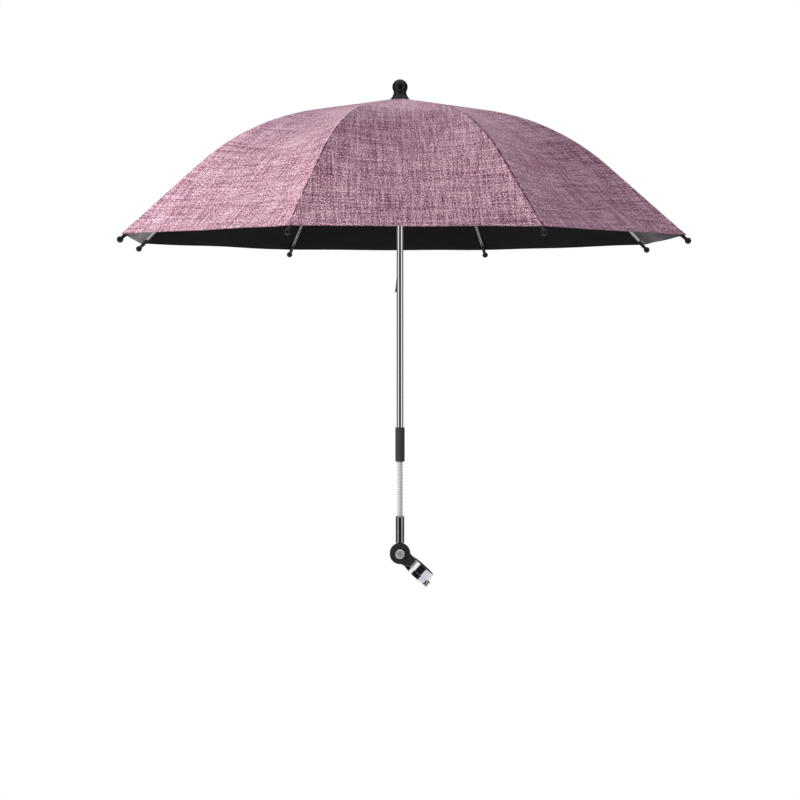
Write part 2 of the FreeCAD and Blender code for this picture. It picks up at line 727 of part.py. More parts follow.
def catch(shoulder_z, way_down):
    """Leaf in a slot of the shaft: a square shoulder at one end and a slope at the other."""
    far_z = shoulder_z + way_down * CATCH_LENGTH
    leaf = slab(polygon_xz([
        (CATCH_INNER_R, shoulder_z),
        (CATCH_REACH, shoulder_z),
        (SHAFT_R - CATCH_TOE, far_z),
        (CATCH_INNER_R, far_z),
    ]), CATCH_T)
    leaf.rotate(ORIGIN, Z_AXIS, CATCH_ANGLE)
    leaf.translate(HUB)
    return leaf


def shaft():
    low = SLEEVE_TOP - SHAFT_DEPTH + PLAY - HUB_HEIGHT
    high = FINIAL_BASE + FINIAL_BORE_DEPTH - PLAY
    tube = along_z(SHAFT_R, low, high).cut(along_z(SHAFT_R - SHAFT_WALL, low - OVERRUN, high + OVERRUN))
    half_slot = CATCH_T / 2 + RUN_FIT
    for low_z in (TOP_CATCH_Z - CATCH_LENGTH, LOW_CATCH_Z):
        high_z = low_z + CATCH_LENGTH
        slot = block(0, 2 * SHAFT_R, -half_slot, half_slot, low_z - PLAY, high_z + PLAY)
        slot.rotate(ORIGIN, Z_AXIS, CATCH_ANGLE)
        tube = tube.cut(slot)
    tube.translate(HUB)
    return tube


# Fabric levels above the rib's top line, and the finial's seat on the cloth
FABRIC_LOW = FABRIC_GAP
FABRIC_HIGH = FABRIC_GAP + FABRIC_T
HOLE_RUN = (FABRIC_HOLE_R - RIB_START.x) / math.cos(CROWN)


def fabric_top(radius):
    """Height of the cloth's upper face above the hub's pivots, over a rib near the crown."""
    return (RIB_TOP + FABRIC_HIGH) / math.cos(CROWN) - (radius - HUB_PIVOT_R) * math.tan(CROWN)


FINIAL_BASE = fabric_top(FINIAL_SKIRT_R) + PLAY


def gore_middle_wire(side):
    """Outline of the cloth midway between two ribs: drawn in to the chord, and sagged."""
    spread = math.pi / RIBS
    wire = band_wire(FABRIC_LOW, FABRIC_HIGH, HOLE_RUN, CORNER_RUN, math.cos(spread), FABRIC_SAG)
    wire.rotate(ORIGIN, Z_AXIS, side * math.degrees(spread))
    across_x, across_y = polar(side * (math.degrees(spread) - 90), PANEL_GAP / 2)
    wire.translate(vec(across_x, across_y, 0))
    return wire


def canopy_panel(number):
    """Cloth on both sides of one rib, out to the middle of the gore on each side."""
    ridge = band_wire(FABRIC_LOW, FABRIC_HIGH, HOLE_RUN, CORNER_RUN)
    panel = Part.makeLoft([gore_middle_wire(-1), ridge, gore_middle_wire(1)], True, True)
    return at_rib(panel, number)


def finial():
    """Ball on a hollow neck and a flared skirt, with a sloping seat and a bore for the shaft."""
    bore = SHAFT_R + SEAT_GAP
    seat_rise = fabric_top(bore) - fabric_top(FINIAL_SKIRT_R)
    ball_z = FINIAL_RISE - FINIAL_BALL_R
    neck_z = ball_z - math.sqrt(FINIAL_BALL_R ** 2 - FINIAL_NECK_R ** 2)
    hollow_z = (FINIAL_BASE + FINIAL_SKIRT_H + neck_z) / 2
    hollow_r = FINIAL_NECK_R + (FINIAL_SKIRT_R - FINIAL_NECK_R) * FINIAL_HOLLOW_SHARE
    shoulder_x, shoulder_z = polar(45, FINIAL_BALL_R)
    skirt_low = vec(FINIAL_SKIRT_R, 0, FINIAL_BASE)
    skirt_high = vec(FINIAL_SKIRT_R, 0, FINIAL_BASE + FINIAL_SKIRT_H)
    neck = vec(FINIAL_NECK_R, 0, neck_z)
    top = vec(0, 0, ball_z + FINIAL_BALL_R)
    seat = vec(bore, 0, FINIAL_BASE + seat_rise)
    bore_end = vec(bore, 0, FINIAL_BASE + FINIAL_BORE_DEPTH)
    bore_top = vec(0, 0, FINIAL_BASE + FINIAL_BORE_DEPTH)
    outline = Part.Wire([
        line(seat, skirt_low),
        line(skirt_low, skirt_high),
        arc(skirt_high, vec(hollow_r, 0, hollow_z), neck),
        arc(neck, vec(shoulder_x, 0, ball_z + shoulder_z), top),
        line(top, bore_top),
        line(bore_top, bore_end),
        line(bore_end, seat),
    ])
    knob = Part.Face(outline).revolve(ORIGIN, Z_AXIS, 360)
    knob.translate(HUB)
    return knob


def build():
    nodes = {
        "clamp_band": clamp_band(),
        "band_liner": band_liner(),
        "arm_screws": arm_screws(),
        "clamp_arm": clamp_arm(),
        "draw_bolt": draw_bolt(),
        "adjusting_nut": adjusting_nut(),
        "lever_pin": lever_pin(),
        "clamp_lever": clamp_lever(),
        "knuckle_bolt": knuckle_bolt(),
        "knuckle_nut": knuckle_nut(),
        "knuckle_barrel": knuckle_barrel(),
        "shaft_sleeve": shaft_sleeve(),
        "shaft": shaft(),
        "top_notch": top_notch(),
        "hub_wire": wire_ring(HUB_PIVOT_R, WIRE_R, 0),
        "finial": finial(),
        "runner": runner(),
        "runner_wire": wire_ring(RUNNER_PIVOT_R, WIRE_R, -RUNNER_DROP),
        "top_catch": catch(TOP_CATCH_Z, -1),
        "bottom_catch": catch(LOW_CATCH_Z, 1),
    }
    for number in range(1, LINKS + 1):
        nodes["gooseneck_link_%d" % number] = gooseneck_link(number)
    for number in range(1, RIBS + 1):
        nodes["rib_%d" % number] = rib(number)
        nodes["rib_tip_%d" % number] = rib_tip(number)
        nodes["stretcher_%d" % number] = stretcher(number)
        nodes["canopy_panel_%d" % number] = canopy_panel(number)
    return nodes


NODES = build()
os.makedirs("parts", exist_ok=True)
for name, shape in NODES.items():
    shape.exportStep("parts/%s.step" % name)
    print("%-18s solids %d valid %s volume %.1f" % (name, len(shape.Solids), shape.isValid(), shape.Volume))
print("runner drop %.3f travel %.3f stretcher turn %.3f" % (RUNNER_DROP, RUNNER_TRAVEL, STRETCHER_TURN))
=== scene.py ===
import json
import math
from collections import namedtuple

import bpy
from mathutils import Euler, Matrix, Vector, noise


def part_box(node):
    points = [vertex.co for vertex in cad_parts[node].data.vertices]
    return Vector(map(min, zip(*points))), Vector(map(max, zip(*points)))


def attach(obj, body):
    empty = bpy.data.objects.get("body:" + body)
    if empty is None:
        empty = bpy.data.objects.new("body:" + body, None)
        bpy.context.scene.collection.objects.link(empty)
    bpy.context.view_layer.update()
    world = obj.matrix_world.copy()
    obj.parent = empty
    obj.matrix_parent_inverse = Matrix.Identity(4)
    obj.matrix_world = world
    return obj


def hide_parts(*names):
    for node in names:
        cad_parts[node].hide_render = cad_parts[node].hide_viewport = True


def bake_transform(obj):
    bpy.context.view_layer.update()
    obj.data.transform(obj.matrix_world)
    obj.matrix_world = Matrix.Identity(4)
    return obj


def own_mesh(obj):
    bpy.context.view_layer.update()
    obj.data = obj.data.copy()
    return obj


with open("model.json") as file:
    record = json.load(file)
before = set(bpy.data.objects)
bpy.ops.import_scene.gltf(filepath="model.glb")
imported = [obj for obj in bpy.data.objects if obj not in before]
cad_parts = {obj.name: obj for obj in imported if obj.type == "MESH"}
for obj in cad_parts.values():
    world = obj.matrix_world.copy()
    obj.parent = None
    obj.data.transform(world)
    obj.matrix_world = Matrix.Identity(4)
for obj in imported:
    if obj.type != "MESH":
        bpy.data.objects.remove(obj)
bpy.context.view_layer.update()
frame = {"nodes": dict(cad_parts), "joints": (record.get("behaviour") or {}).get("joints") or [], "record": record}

JOINTS = {joint["name"]: joint for joint in frame["joints"]}
NODES = frame["nodes"]
RIBS = 8
NECK_JOINTS = 8

# Places read from the frame. Lengths here and below are in metres.
HUB = Vector(JOINTS["shaft_swivel"]["pos_m"])
HUB.z = JOINTS["canopy_fold"]["pos_m"][2]
KNUCKLE = Vector(JOINTS["knuckle_tilt"]["pos_m"])

# The cloth's line over a rib: straight, arc, straight, with slopes below the level
CROWN_SLOPE = math.radians(9.5)
RIM_SLOPE = math.radians(41.5)
ARC_START_R = 0.1345
ARC_R = 0.360
PIVOT_R = 0.009
RIB_TOP = 0.0018
HOLE_R = 0.0060
CORNER_R = 0.4265
CLOTH_GAP = 0.00095
CLOTH_T = 0.0008

# Between the ribs: half a gore's angle, the sag, and the hairline that keeps two sheets from touching
HALF_GORE = math.pi / RIBS
CLOTH_SAG = 0.0105
SAG_FADE = 1.7
SHEET_GAP = 0.0000005

# Sewing: the seam over a rib, puckers beside it, folds from the tip, the hem, and slow sway
SEAM_GROOVE = 0.0003
SEAM_FOLD = 0.00035
SEAM_FOLD_W = 0.004
SEAM_FOLD_EDGE = 0.0016
PUCKER = 0.0004
PUCKER_PITCH = 0.017
PUCKER_FADE = 0.016
PUCKER_START = 0.003
PUCKER_WANDER = 4.0
PUCKER_WANDER_PER_M = 31
TIP_FOLD = 0.0013
TIP_FOLD_FADE = 0.075
TIP_FOLD_START = 0.012
TIP_FOLD_RAYS = 11
HEM_W = 0.008
HEM_EDGE = 0.0006
HEM_FOLD = 0.0004
SWAY = 0.0016
SWAY_SIZE = 0.11
SWAY_SEAM_FADE = 0.05
SWAY_CROWN_FADE = (0.03, 0.12)
PUCKER_GORE_SEED = 5.3
PUCKER_SIDE_SEED = 2.7
SWAY_GORE_SEED = 7.1

# Grid of the cloth: distances from the rib and from the hem, then even shares
SEAM_STEPS = (0.0, 0.0006, 0.0013, 0.0026, 0.0042, 0.007)
SEAM_LAST_SHARE = 0.16
GORE_COLUMNS = 13
HEM_STEPS = (0.0, 0.0007, 0.0024, 0.005, 0.0074, 0.0082, 0.0092, 0.013)
CLOTH_ROWS = 84

# Wound neck
COIL_PITCH = 0.0025
COIL_R = 0.0040
COIL_DEPTH = 0.0009
COIL_FOOT = 0.0018
COIL_SEGMENTS = 40
COIL_ROWS_PER_TURN = 10
COIL_DOME_R = 0.0030
COIL_DOME_ROWS = 6
COIL_GAP = 0.00003
SEATED_COIL = 7

# Plain finishes: grain size and bump, roughness and its spread, and the radius of broken edges
GRAIN_DETAIL = 4
GRAIN_DEPTH_SHARE = 0.25
LEAST_ROUGHNESS = 0.02
EDGE_SAMPLES = 6
SMOOTH_ANGLE = math.radians(28)
FINISH_LOOKS = {
    "chrome_trim": dict(colour=(0.86, 0.86, 0.87), metallic=1.0, rough=0.08, rough_spread=0.03,
                        size=0.004, bump=0.01),
    "dark_plate": dict(colour=(0.30, 0.31, 0.305), metallic=1.0, rough=0.14, rough_spread=0.03,
                       size=0.004, bump=0.01),
    "zinc_steel": dict(colour=(0.66, 0.66, 0.67), metallic=1.0, rough=0.3, size=0.002, bump=0.03),
    "liner_rubber": dict(colour=(0.022, 0.022, 0.022), rough=0.75, size=0.0006, bump=0.25),
    "black_plastic": dict(colour=(0.018, 0.018, 0.019), specular=0.35, rough=0.42, rough_spread=0.07,
                          size=0.0005, bump=0.2),
    "gloss_black": dict(colour=(0.006, 0.006, 0.006), specular=0.3, rough=0.2, rough_spread=0.04,
                        size=0.006, bump=0.01, bevel=0.0004),
    "bright_bolt": dict(colour=(0.86, 0.86, 0.85), metallic=1.0, rough=0.5, rough_spread=0.1,
                        size=0.0015, bump=0.3),
    "sleeve_grey": dict(colour=(0.038, 0.038, 0.038), specular=0.25, rough=0.62, rough_spread=0.06,
                        size=0.0005, bump=0.22),
    "chrome_shaft": dict(colour=(0.84, 0.84, 0.85), metallic=1.0, rough=0.06, rough_spread=0.02,
                         size=0.005, bump=0.005),
    "spring_steel": dict(colour=(0.6, 0.6, 0.61), metallic=1.0, rough=0.28, size=0.0012, bump=0.03),
    "neck_silver": dict(colour=(0.86, 0.86, 0.86), metallic=0.45, rough=0.4, size=0.0012, bump=0.03,
                        bevel=0.0001),
    "rib_steel": dict(colour=(0.42, 0.42, 0.43), metallic=1.0, rough=0.25, size=0.003, bump=0.02),
}
# Painted shade in the neck's groove: the colour its finish darkens to there
NECK_GROOVE_PAINTED_SHADE = (0.24, 0.24, 0.24)

# Cloth: colours of its threads, sizes of its streaks across and along a gore, and their weights
CLOTH_DARK = (0.16, 0.046, 0.082)
CLOTH_MEAN = (0.50, 0.234, 0.312)
CLOTH_PALE = (0.96, 0.665, 0.75)
CLOTH_MEAN_SHARE = 0.5
WARP = (0.0021, 0.05)
WEFT = (0.045, 0.0020)
CROSSING = (0.0020, 0.0018)
WARP_BAND = (0.0045, 0.08)
WEFT_BAND = (0.06, 0.0045)
CLOUD = (0.045, 0.09)
THREAD_WEIGHTS = ((WARP, 0.5), (WEFT, 0.5), (CROSSING, 1.6))
BAND_WEIGHTS = ((WARP_BAND, 0.2), (WEFT_BAND, 0.16), (CLOUD, 0.12))
TONE_SPREAD = 0.225
STREAK_DETAIL = 1
STREAK_MEAN = 0.5
SEED_STEP = 17.3
BAND_SEED = 101.7
GORE_SHIFT = (1.37, 0.71)
WEAVE_BUMP = 0.8
WEAVE_DEPTH = 0.0004
CLOTH_ROUGHNESS = 0.92
CLOTH_SPECULAR = 0.06
CLOTH_SHEEN = 0.3
CLOTH_SHEEN_ROUGHNESS = 0.3
CLOTH_SHEEN_TINT = (1.0, 0.72, 0.82)

# Sewn lines in the cloth: half widths, how dark they are, and the breaks in the seam lines. The seam line is
# partly sewing and partly painted shade in the groove over the rib
# Colour of the sewn lines, and of the painted shade in the seam's groove
SEWING_AND_PAINTED_SHADE = (0.055, 0.026, 0.04)
SEAM_LINE_W = 0.0012
HEM_LINE_W = 0.00072
EDGE_LINE_W = 0.00096
LINE_CORE_SHARE = 0.4
HEM_DARKNESS = 0.45
EDGE_DARKNESS = 0.55
STITCH_PITCH = 0.003
STITCH_GATE = -0.4
SEAM_LINE_BREAKS = (1.0, 0.012)
SEAM_LINE_BREAKS_SEED = 5.9
SEAM_LINE_BREAKS_RANGE = (0.42, 0.56)
SEAM_LINE_BREAKS_LEAST = 0.15

# Coated lining
LINING_COLOUR = (0.0055, 0.005, 0.006)
LINING_SPECULAR = 0.08
LINING_SHEEN = 0.7
LINING_SHEEN_ROUGHNESS = 0.2
LINING_GRAIN = dict(size=0.0012, bump=0.2, rough=0.7, rough_spread=0.08, bevel=0.0001)

# Camera, as the photograph was taken, with lens and sensor in millimetres
CAMERA_DISTANCE = 2.93
CAMERA_RISE = 0.336
CAMERA_PITCH = math.radians(87.9)
CAMERA_LENS = 88.9
CAMERA_SENSOR = 36

# Stage: floor, and lamps that point at the canopy, with place from there, size, watts and colour
WHITE = (1, 1, 1)
FLOOR_DROP = 0.95
FLOOR_SIZE = 4
FLOOR_COLOUR = (0.95, 0.95, 0.95)
FLOOR_ROUGHNESS = 0.9
AIM_DROP = 0.12
AIM = HUB - Vector((0, 0, AIM_DROP))
LAMPS = {
    "key": ((-2.42, -0.95, 0.36), (1.4, 1.8), 79, (0.95, 1.05, 1.01)),
    "front": ((-0.4, -3.4, -0.3), (1.2, 0.8), 28, (1.05, 0.98, 0.96)),
    "rim": ((1.4, 2.2, 1.1), (1.6, 1.0), 60, WHITE),
}

# World: light from the level and from above, and the room in the metal, by bearing from the front in degrees
AMBIENT_LEVEL = (0.56, 0.55, 0.555)
AMBIENT_TOP = (0.03, 0.03, 0.13)
AMBIENT_STRENGTH = 1.0
FLAG_STOPS = ((0, 0.01), (31, 0.01), (39, 1.0), (66, 1.0), (80, 0.17), (120, 0.14), (160, 0.05), (180, 0.05))
CEILING_HEIGHTS = (0.55, 0.85)


def smooth_step(low, high, value):
    t = min(1.0, max(0.0, (value - low) / (high - low)))
    return t * t * (3 - 2 * t)


def opaque(colour):
    return (*colour, 1)


def add_object(name, data):
    made = bpy.data.objects.new(name, data)
    bpy.context.scene.collection.objects.link(made)
    return made


class Tree:
    """Short calls that add nodes to a material or the world."""

    def __init__(self, owner):
        owner.use_nodes = True
        self.nodes = owner.node_tree.nodes
        self.links = owner.node_tree.links

    def put(self, node, values):
        """Set a node's inputs by value, or link them where the value is another node's output."""
        for key, value in values.items():
            if isinstance(value, bpy.types.NodeSocket):
                self.links.new(value, node.inputs[key])
            else:
                node.inputs[key].default_value = value

    def add(self, kind, values=None, **settings):
        node = self.nodes.new("ShaderNode" + kind)
        for key, setting in settings.items():
            setattr(node, key, setting)
        self.put(node, values or {})
        return node

    def work_out(self, operation, a, b=0.0):
        return self.add("Math", {0: a, 1: b}, operation=operation).outputs["Value"]

    def spread(self, value, start=(0.0, 1.0), end=(0.0, 1.0)):
        """A value's share of its way through the start range, as that share of the end range."""
        ends = {"From Min": start[0], "From Max": start[1], "To Min": end[0], "To Max": end[1]}
        return self.add("MapRange", {"Value": value, **ends}).outputs["Result"]

    def mix(self, factor, a, b):
        return self.add("Mix", {"Factor": factor, "A": a, "B": b}, data_type="RGBA").outputs["Result"]

    def ramp(self, value, stops):
        """Colours along a value. The first and last stops are at 0 and 1."""
        node = self.add("ValToRGB", {"Fac": value})
        elements = node.color_ramp.elements
        for share, _ in stops[1:-1]:
            elements.new(share)
        for element, (_, colour) in zip(elements, stops):
            element.color = opaque(colour)
        return node.outputs["Color"]

    def attribute(self, name):
        return self.add("Attribute", attribute_name=name).outputs["Fac"]


def new_material(name):
    material = bpy.data.materials.new(name)
    tree = Tree(material)
    return material, tree, tree.nodes["Principled BSDF"]


# Finishes

def add_grain(tree, shader, size, bump, rough, rough_spread, bevel):
    """Fine grain in the finish and softly broken edges, in the object's own space."""
    place = tree.add("TexCoord").outputs["Object"]
    grain = tree.add("TexNoise", {"Vector": place, "Scale": 1 / size, "Detail": GRAIN_DETAIL}).outputs["Fac"]
    edge = tree.add("Bevel", {"Radius": bevel}, samples=EDGE_SAMPLES).outputs["Normal"]
    height = tree.add("Bump", {"Strength": bump, "Distance": size * GRAIN_DEPTH_SHARE, "Height": grain,
                               "Normal": edge})
    ends = (max(LEAST_ROUGHNESS, rough - rough_spread), rough + rough_spread)
    tree.put(shader, {"Roughness": tree.spread(grain, end=ends), "Normal": height.outputs["Normal"]})


def plain_finish(name, colour, rough, size, bump, rough_spread=0.05, bevel=0.0003, metallic=0.0,
                 specular=0.5):
    material, tree, shader = new_material(name)
    tree.put(shader, {"Base Color": opaque(colour), "Metallic": metallic, "Specular IOR Level": specular})
    add_grain(tree, shader, size, bump, rough, rough_spread, bevel)
    return material


def paint_groove_shade(material, colour):
    """Painted shade: darken a finish where the piece's groove attribute is high, as shade falling in the groove.
    """
    tree = Tree(material)
    shader = tree.nodes["Principled BSDF"]
    plain = tuple(shader.inputs["Base Color"].default_value)
    tree.put(shader, {"Base Color": tree.mix(tree.attribute("groove"), plain, opaque(colour))})


def streaks(tree, flat, size, seed):
    """Soft noise in the flat cloth, stretched to a size across and along it."""
    across, along = size
    place = tree.add("Mapping", {"Vector": flat, "Location": (seed, seed, seed),
                                 "Scale": (1 / across, 1 / along, 1)})
    noisy = tree.add("TexNoise", {"Vector": place.outputs["Vector"], "Scale": 1.0, "Detail": STREAK_DETAIL})
    return noisy.outputs["Fac"]


def thread_tone(tree, flat, weights, seed):
    """Sum of streaks of several sizes, each around zero and with its own weight."""
    total = 0.0
    for size, weight in weights:
        seed += SEED_STEP
        centred = tree.work_out("SUBTRACT", streaks(tree, flat, size, seed), STREAK_MEAN)
        total = tree.work_out("ADD", total, tree.work_out("MULTIPLY", centred, weight))
    return total


def sewn_line(tree, distance, middle, half_width):
    """1 in the core of a line, and 0 from its half width outward."""
    away = tree.work_out("ABSOLUTE", tree.work_out("SUBTRACT", distance, middle))
    return tree.spread(away, (LINE_CORE_SHARE * half_width, half_width), (1.0, 0.0))


def sewing_and_painted_shade(tree, flat):
    """How dark the sewing is: the line of each seam, broken here and there, which is partly sewing and partly
    painted shade in the seam's groove, the stitches of the hem and its turned edge.
    """
    seam_breaks = streaks(tree, flat, SEAM_LINE_BREAKS, SEAM_LINE_BREAKS_SEED)
    # The seam line: partly sewing and partly painted shade in the groove over the rib, broken here and there
    seam = tree.work_out("MULTIPLY", sewn_line(tree, tree.attribute("seam_m"), 0.0, SEAM_LINE_W),
                         tree.spread(seam_breaks, SEAM_LINE_BREAKS_RANGE, (SEAM_LINE_BREAKS_LEAST, 1.0)))
    from_hem = tree.attribute("hem_m")
    along_hem = tree.add("SeparateXYZ", {"Vector": flat}).outputs["X"]
    wave = tree.work_out("SINE", tree.work_out("MULTIPLY", along_hem, 2 * math.pi / STITCH_PITCH))
    stitches = tree.work_out("GREATER_THAN", wave, STITCH_GATE)
    hem = tree.work_out("MULTIPLY", sewn_line(tree, from_hem, HEM_W, HEM_LINE_W), stitches)
    edge = sewn_line(tree, from_hem, 0.0, EDGE_LINE_W)
    dark = tree.work_out("MAXIMUM", seam, tree.work_out("MULTIPLY", hem, HEM_DARKNESS))
    return tree.work_out("MAXIMUM", dark, tree.work_out("MULTIPLY", edge, EDGE_DARKNESS))


def cloth_finish():
    """Heathered linen look: uneven threads both ways, their crossings, slow bands and clouds, sewn lines with
    painted shade along the seams.
    """
    material, tree, shader = new_material("canopy_cloth")
    flat = tree.add("UVMap", uv_map="gore").outputs["UV"]
    weave = thread_tone(tree, flat, THREAD_WEIGHTS, 0.0)
    tone = tree.work_out("ADD", weave, thread_tone(tree, flat, BAND_WEIGHTS, BAND_SEED))
    threads = tree.ramp(tree.spread(tone, (-TONE_SPREAD, TONE_SPREAD)),
                        ((0, CLOTH_DARK), (CLOTH_MEAN_SHARE, CLOTH_MEAN), (1, CLOTH_PALE)))
    height = tree.add("Bump", {"Strength": WEAVE_BUMP, "Distance": WEAVE_DEPTH, "Height": weave})
    tree.put(shader, {
        # Sewn lines and the painted seam shade darken the threads
        "Base Color": tree.mix(sewing_and_painted_shade(tree, flat), threads, opaque(SEWING_AND_PAINTED_SHADE)),
        "Normal": height.outputs["Normal"],
        "Roughness": CLOTH_ROUGHNESS,
        "Specular IOR Level": CLOTH_SPECULAR,
        "Sheen Weight": CLOTH_SHEEN,
        "Sheen Roughness": CLOTH_SHEEN_ROUGHNESS,
        "Sheen Tint": opaque(CLOTH_SHEEN_TINT),
    })
    return material


def lining_finish():
    material, tree, shader = new_material("canopy_lining")
    tree.put(shader, {
        "Base Color": opaque(LINING_COLOUR),
        "Specular IOR Level": LINING_SPECULAR,
        "Sheen Weight": LINING_SHEEN,
        "Sheen Roughness": LINING_SHEEN_ROUGHNESS,
    })
    add_grain(tree, shader, **LINING_GRAIN)
    return material


FINISHES = {name: plain_finish(name, **look) for name, look in FINISH_LOOKS.items()}
FINISHES["canopy_cloth"] = cloth_finish()
COATED = lining_finish()
# Painted shade in the groove of the wound neck
paint_groove_shade(FINISHES["neck_silver"], NECK_GROOVE_PAINTED_SHADE)


# Cloth shape

# Where a point of the cloth is: from the seam, the hem and its gore's middle, along the rib, and which gore
Spot = namedtuple("Spot", "seam_m hem_m from_middle run gore")


def way(slope):
    """Directions along a line that falls at this slope, and square to it."""
    return Vector((math.cos(slope), -math.sin(slope))), Vector((math.sin(slope), math.cos(slope)))


CROWN_WAY, CROWN_UP = way(CROWN_SLOPE)
RIM_WAY, RIM_UP = way(RIM_SLOPE)
CLOTH_LEVEL = RIB_TOP + CLOTH_GAP
LINE_START = Vector((PIVOT_R, 0)) + CROWN_UP * CLOTH_LEVEL
HOLE_RUN = (HOLE_R - LINE_START.x) / CROWN_WAY.x
ARC_START = Vector((PIVOT_R, 0)) + CROWN_UP * RIB_TOP
ARC_START += CROWN_WAY * ((ARC_START_R - ARC_START.x) / CROWN_WAY.x)
ARC_CENTRE = ARC_START - CROWN_UP * ARC_R
LEVEL_R = ARC_R + CLOTH_GAP
BEND_IN = (ARC_CENTRE + CROWN_UP * LEVEL_R - LINE_START).length
BEND_OUT = BEND_IN + LEVEL_R * (RIM_SLOPE - CROWN_SLOPE)
RIM_START = ARC_CENTRE + RIM_UP * LEVEL_R
CORNER_RUN = BEND_OUT + (CORNER_R - RIM_START.x) / RIM_WAY.x
LINE_LENGTH = CORNER_RUN - HOLE_RUN


def line_point(run):
    """(radius, height) on the cloth's under face over a rib, this far along it."""
    if run <= BEND_IN:
        return LINE_START + CROWN_WAY * run
    if run >= BEND_OUT:
        return RIM_START + RIM_WAY * (run - BEND_OUT)
    return ARC_CENTRE + way(CROWN_SLOPE + (run - BEND_IN) / LEVEL_R)[1] * LEVEL_R


def sag_along(from_hem_share):
    """Share of the sag along the middle of a gore: none at the hem and the crown, 1 where it is deepest."""
    deepest = 1 / (1 + SAG_FADE)
    return from_hem_share * (1 - from_hem_share) ** SAG_FADE / (deepest * (1 - deepest) ** SAG_FADE)


def sag_across(share):
    """Share of the sag from a rib to the middle of a gore: a cubic that is level at the middle."""
    return 1.5 * share - 0.5 * share ** 3


def cloth_point(share, from_hem_share, rib_angle, side):
    """A point between the rib (share 0) and the middle of the gore (share 1), before sewing, and its run."""
    run = CORNER_RUN - from_hem_share * LINE_LENGTH
    at = line_point(run)
    over_rib = Vector((at.x * math.cos(rib_angle), at.x * math.sin(rib_angle), at.y))
    middle_r = at.x * math.cos(HALF_GORE)
    middle_angle = rib_angle + side * HALF_GORE
    middle = Vector((middle_r * math.cos(middle_angle), middle_r * math.sin(middle_angle), at.y))
    point = over_rib.lerp(middle, share)
    point.z -= CLOTH_SAG * sag_along(from_hem_share) * sag_across(share)
    return HUB + point, run


def sewing_height(spot):
    """How far the cloth stands proud of its stretched shape, from seams, hem, puckers and sway."""
    seam_m, hem_m, from_middle, run, gore = spot
    lift = SEAM_FOLD * smooth_step(SEAM_FOLD_W + SEAM_FOLD_EDGE, SEAM_FOLD_W, seam_m)
    if seam_m < SEAM_STEPS[1] / 2:
        lift = -SEAM_GROOVE
    side = 1 if from_middle > 0 else -1
    place = Vector((run * PUCKER_WANDER_PER_M, gore * PUCKER_GORE_SEED, side * PUCKER_SIDE_SEED))
    wave = math.sin(2 * math.pi * run / PUCKER_PITCH + PUCKER_WANDER * noise.noise(place))
    lift += PUCKER * math.exp(-seam_m / PUCKER_FADE) * (1 - math.exp(-seam_m / PUCKER_START)) * wave
    corner = math.hypot(seam_m, hem_m)
    turn = math.atan2(seam_m, hem_m + HEM_EDGE)
    rays = math.sin(TIP_FOLD_RAYS * turn + gore + side) * math.sin(2 * turn)
    lift += TIP_FOLD * math.exp(-corner / TIP_FOLD_FADE) * (1 - math.exp(-corner / TIP_FOLD_START)) * rays
    lift += HEM_FOLD * smooth_step(HEM_W + HEM_EDGE, HEM_W - HEM_EDGE, hem_m)
    free = smooth_step(0.0, SWAY_SEAM_FADE, seam_m) * smooth_step(*SWAY_CROWN_FADE, run)
    place = Vector((from_middle / SWAY_SIZE, run / SWAY_SIZE, gore * SWAY_GORE_SEED))
    return lift + SWAY * free * noise.noise(place)


def half_columns(half_width):
    """Shares of the way from a rib to the middle of a gore, close together beside the seam."""
    columns = []
    for i, step in enumerate(SEAM_STEPS):
        even = SEAM_LAST_SHARE * i / (len(SEAM_STEPS) - 1)
        columns.append(min(step / half_width, even))
    start = columns[-1]
    return columns + [start + (1 - start) * i / GORE_COLUMNS for i in range(1, GORE_COLUMNS + 1)]


def row_shares():
    """Shares of the way from the hem to the crown, close together beside the hem."""
    rows = [step / LINE_LENGTH for step in HEM_STEPS]
    start = rows[-1]
    left = CLOTH_ROWS - len(rows)
    return rows + [start + (1 - start) * i / left for i in range(1, left + 1)]


def sheet_grid(number, angle):
    """One sheet's points before sewing, in rows from the hem up, and the spots of all of them."""
    grid = []
    spots = []
    for row in row_shares():
        half = line_point(CORNER_RUN - row * LINE_LENGTH).x * math.sin(HALF_GORE)
        shares = half_columns(half)
        points = []
        for side, share in [(-1, s) for s in reversed(shares[1:])] + [(1, s) for s in shares]:
            point, run = cloth_point(share, row, angle, side)
            gore = (number if side > 0 else number - 1) % RIBS
            points.append(point)
            spots.append(Spot(share * half, row * LINE_LENGTH, -side * (1 - share) * half, run, gore))
        grid.append(points)
    return grid, spots


def towards_rib(angle, column):
    """Level direction to the rib from the middle of a gore, at the first or the last column."""
    side = 1 if column else -1
    middle_angle = angle + side * HALF_GORE
    return Vector((math.sin(middle_angle), -math.cos(middle_angle), 0)) * side


def sewn_points(grid, spots, angle):
    """Outer and inner points. Where two sheets meet, the cloth has no sideways lean."""
    rows, columns = len(grid), len(grid[0])
    outer = []
    inner = []
    for i in range(rows):
        for j in range(columns):
            down = grid[max(i - 1, 0)][j] - grid[min(i + 1, rows - 1)][j]
            across = grid[i][min(j + 1, columns - 1)] - grid[i][max(j - 1, 0)]
            up = down.cross(across)
            inward = towards_rib(angle, j) if j in (0, columns - 1) else Vector()
            up -= inward * up.dot(inward)
            up.normalize()
            base = grid[i][j] + up * sewing_height(spots[i * columns + j])
            base += inward * SHEET_GAP
            outer.append(base + up * CLOTH_T)
            inner.append(base)
    return outer, inner


